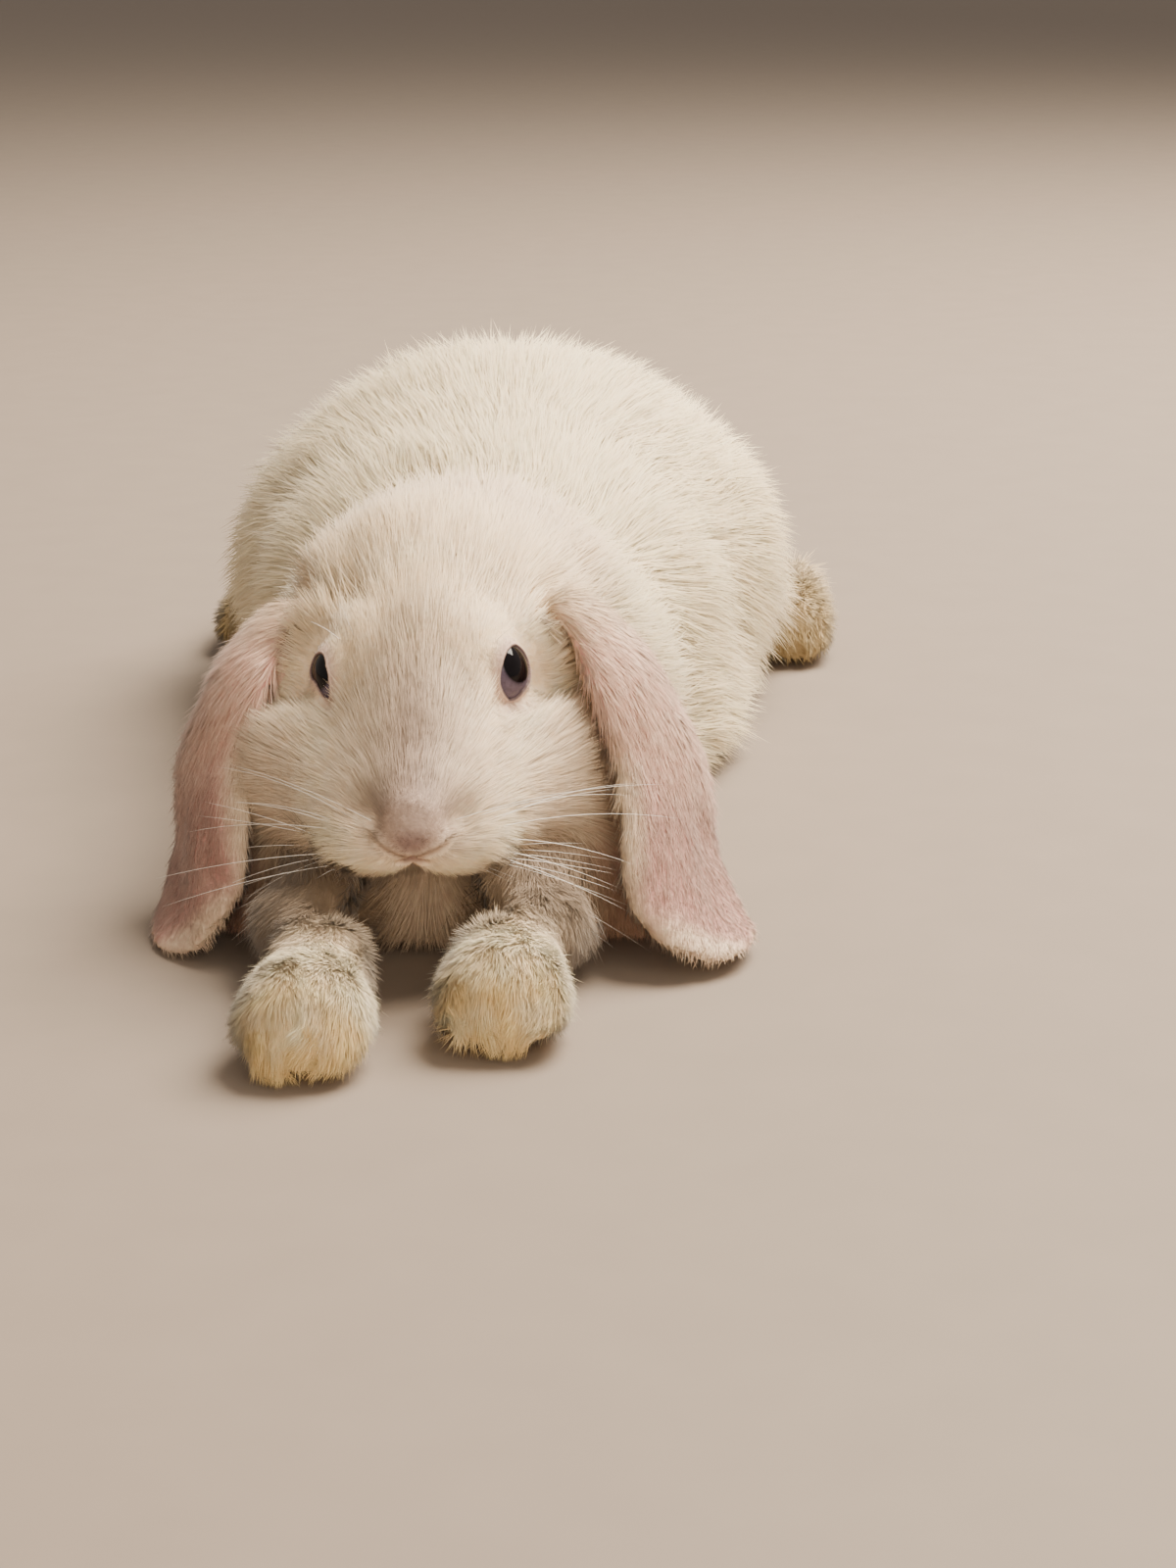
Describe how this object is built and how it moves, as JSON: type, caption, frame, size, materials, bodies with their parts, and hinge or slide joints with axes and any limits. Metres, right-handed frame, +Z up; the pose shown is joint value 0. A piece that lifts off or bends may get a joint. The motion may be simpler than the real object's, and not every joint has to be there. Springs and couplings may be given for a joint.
{
  "type": "lop rabbit",
  "caption": "Young white lop-eared rabbit lying on its belly, both forepaws stretched out ahead and its long ears hanging down to the ground.",
  "frame": {"origin": "centre of the box round the rabbit, on the ground it lies on", "axes": "+Z up from the ground, +Y from the nose to the tail, +X to the rabbit's left"},
  "size_m": [0.1662, 0.3576, 0.0874],
  "materials": {
    "coat": "soft white plush fur",
    "ear": "pink skin under thin white hair",
    "foot": "short white fur stained yellow",
    "eye": "wet dark eye"
  },
  "bodies": {
    "root": {"head": "coat", "neck": "coat", "trunk": "coat", "tail": "coat", "eye_left": "eye", "eye_right": "eye", "ear_left": "ear", "ear_right": "ear", "foreleg_left": "coat", "foreleg_right": "coat", "hind_leg_left": "coat", "hind_leg_right": "coat", "hind_foot_left": "foot", "hind_foot_right": "foot"}
  },
  "joints": []
}
